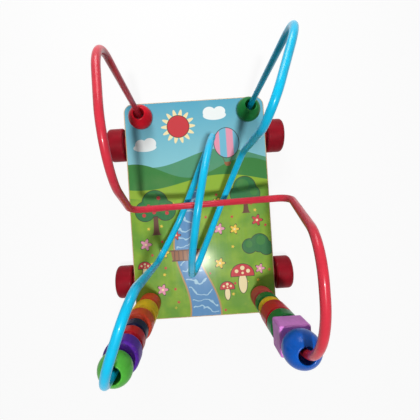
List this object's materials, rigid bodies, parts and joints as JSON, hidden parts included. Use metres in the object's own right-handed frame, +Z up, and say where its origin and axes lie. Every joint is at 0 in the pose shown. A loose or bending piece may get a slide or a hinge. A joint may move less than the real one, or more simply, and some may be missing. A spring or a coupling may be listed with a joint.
{
  "type": "bead maze",
  "caption": "Push-along bead maze: a printed wooden board on red wheels, with a red and a blue bent wire that carry painted wooden beads.",
  "frame": {"origin": "on the floor, under the middle of the board", "axes": "+X across the board from wheel to wheel, +Y along the board away from the bead stacks, +Z up"},
  "size_m": [0.1386, 0.17, 0.1559],
  "materials": {
    "varnished_wood": "clear varnish",
    "printed_film": "gloss print",
    "red_coated_wire": "gloss",
    "blue_coated_wire": "gloss",
    "wheel_paint": "satin paint",
    "red_paint": "gloss paint",
    "dark_green_paint": "gloss paint",
    "orange_paint": "gloss paint",
    "yellow_paint": "gloss paint",
    "navy_paint": "gloss paint",
    "purple_paint": "gloss paint",
    "light_green_paint": "gloss paint",
    "rose_paint": "satin paint",
    "lilac_paint": "satin paint",
    "blue_paint": "gloss paint"
  },
  "bodies": {
    "frame": {"board": "varnished_wood", "printed_sheet": "printed_film", "red_wire": "red_coated_wire", "blue_wire": "blue_coated_wire", "rear_left_axle_peg": "varnished_wood", "rear_right_axle_peg": "varnished_wood", "front_left_axle_peg": "varnished_wood", "front_right_axle_peg": "varnished_wood"},
    "rear_left_wheel": {"rear_left_wheel": "wheel_paint"},
    "rear_right_wheel": {"rear_right_wheel": "wheel_paint"},
    "front_left_wheel": {"front_left_wheel": "wheel_paint"},
    "front_right_wheel": {"front_right_wheel": "wheel_paint"},
    "red_end_ball": {"red_end_ball": "red_paint"},
    "green_end_ball": {"green_end_ball": "dark_green_paint"},
    "left_bead_1": {"left_bead_1_orange": "orange_paint"},
    "left_bead_2": {"left_bead_2_yellow": "yellow_paint"},
    "left_bead_3": {"left_bead_3_orange": "orange_paint"},
    "left_bead_4": {"left_bead_4_navy": "navy_paint"},
    "left_bead_5": {"left_bead_5_red": "red_paint"},
    "left_bead_6": {"left_bead_6_purple": "purple_paint"},
    "left_bead_7": {"left_bead_7_green_ball": "light_green_paint"},
    "right_bead_1": {"right_bead_1_rose": "rose_paint"},
    "right_bead_2": {"right_bead_2_green": "dark_green_paint"},
    "right_bead_3": {"right_bead_3_yellow": "yellow_paint"},
    "right_bead_4": {"right_bead_4_red": "red_paint"},
    "right_bead_5": {"right_bead_5_green": "dark_green_paint"},
    "right_bead_6": {"right_bead_6_lilac_cube": "lilac_paint"},
    "right_bead_7": {"right_bead_7_blue_ball": "blue_paint"}
  },
  "joints": [
    {"name": "rear_left_wheel_spin", "type": "hinge", "parent": "frame", "child": "rear_left_wheel", "pos_m": [-0.0625, -0.055, 0.013], "axis": [1, 0, 0], "continuous": true},
    {"name": "rear_right_wheel_spin", "type": "hinge", "parent": "frame", "child": "rear_right_wheel", "pos_m": [0.0625, -0.055, 0.013], "axis": [1, 0, 0], "continuous": true},
    {"name": "front_left_wheel_spin", "type": "hinge", "parent": "frame", "child": "front_left_wheel", "pos_m": [-0.0625, 0.055, 0.013], "axis": [1, 0, 0], "continuous": true},
    {"name": "front_right_wheel_spin", "type": "hinge", "parent": "frame", "child": "front_right_wheel", "pos_m": [0.0625, 0.055, 0.013], "axis": [1, 0, 0], "continuous": true},
    {"name": "red_end_ball_slide", "type": "slide", "parent": "frame", "child": "red_end_ball", "axis": [-0.0151, 0.0462, 0.9988], "range_m": [0, 0.072]},
    {"name": "green_end_ball_slide", "type": "slide", "parent": "frame", "child": "green_end_ball", "axis": [0.0895, 0.1111, 0.9898], "range_m": [0, 0.072]},
    {"name": "left_bead_1_slide", "type": "slide", "parent": "frame", "child": "left_bead_1", "axis": [0, -0.0279, 0.9996], "range_m": [0, 0.009]},
    {"name": "left_bead_2_slide", "type": "slide", "parent": "frame", "child": "left_bead_2", "axis": [0, -0.0279, 0.9996], "range_m": [0, 0.009]},
    {"name": "left_bead_3_slide", "type": "slide", "parent": "frame", "child": "left_bead_3", "axis": [0, -0.0279, 0.9996], "range_m": [0, 0.009]},
    {"name": "left_bead_4_slide", "type": "slide", "parent": "frame", "child": "left_bead_4", "axis": [0, -0.0279, 0.9996], "range_m": [0, 0.009]},
    {"name": "left_bead_5_slide", "type": "slide", "parent": "frame", "child": "left_bead_5", "axis": [0, -0.0279, 0.9996], "range_m": [0, 0.009]},
    {"name": "left_bead_6_slide", "type": "slide", "parent": "frame", "child": "left_bead_6", "axis": [0, -0.0279, 0.9996], "range_m": [0, 0.009]},
    {"name": "left_bead_7_slide", "type": "slide", "parent": "frame", "child": "left_bead_7", "axis": [0, -0.0279, 0.9996], "range_m": [0, 0.009]},
    {"name": "right_bead_1_slide", "type": "slide", "parent": "frame", "child": "right_bead_1", "axis": [0, -0.0174, 0.9998], "range_m": [0, 0.016]},
    {"name": "right_bead_2_slide", "type": "slide", "parent": "frame", "child": "right_bead_2", "axis": [0, -0.0174, 0.9998], "range_m": [0, 0.016]},
    {"name": "right_bead_3_slide", "type": "slide", "parent": "frame", "child": "right_bead_3", "axis": [0, -0.0174, 0.9998], "range_m": [0, 0.016]},
    {"name": "right_bead_4_slide", "type": "slide", "parent": "frame", "child": "right_bead_4", "axis": [0, -0.0174, 0.9998], "range_m": [0, 0.016]},
    {"name": "right_bead_5_slide", "type": "slide", "parent": "frame", "child": "right_bead_5", "axis": [0, -0.0174, 0.9998], "range_m": [0, 0.016]},
    {"name": "right_bead_6_slide", "type": "slide", "parent": "frame", "child": "right_bead_6", "axis": [0, -0.0174, 0.9998], "range_m": [0, 0.016]},
    {"name": "right_bead_7_swing", "type": "hinge", "parent": "frame", "child": "right_bead_7", "pos_m": [0.04247, -0.03973, 0.12023], "axis": [-0.9999, -0.0161, -0.0003], "range_deg": [0, 33]}
  ],
  "couplings": [
    {"joint": "left_bead_2_slide", "follows": "left_bead_1_slide", "ratio": 1},
    {"joint": "left_bead_3_slide", "follows": "left_bead_1_slide", "ratio": 1},
    {"joint": "left_bead_4_slide", "follows": "left_bead_1_slide", "ratio": 1},
    {"joint": "left_bead_5_slide", "follows": "left_bead_1_slide", "ratio": 1},
    {"joint": "left_bead_6_slide", "follows": "left_bead_1_slide", "ratio": 1},
    {"joint": "left_bead_7_slide", "follows": "left_bead_1_slide", "ratio": 1},
    {"joint": "right_bead_2_slide", "follows": "right_bead_1_slide", "ratio": 1},
    {"joint": "right_bead_3_slide", "follows": "right_bead_1_slide", "ratio": 1},
    {"joint": "right_bead_4_slide", "follows": "right_bead_1_slide", "ratio": 1},
    {"joint": "right_bead_5_slide", "follows": "right_bead_1_slide", "ratio": 1},
    {"joint": "right_bead_6_slide", "follows": "right_bead_1_slide", "ratio": 1},
    {"joint": "right_bead_7_swing", "follows": "right_bead_1_slide", "rad_per_m": 34.8}
  ]
}
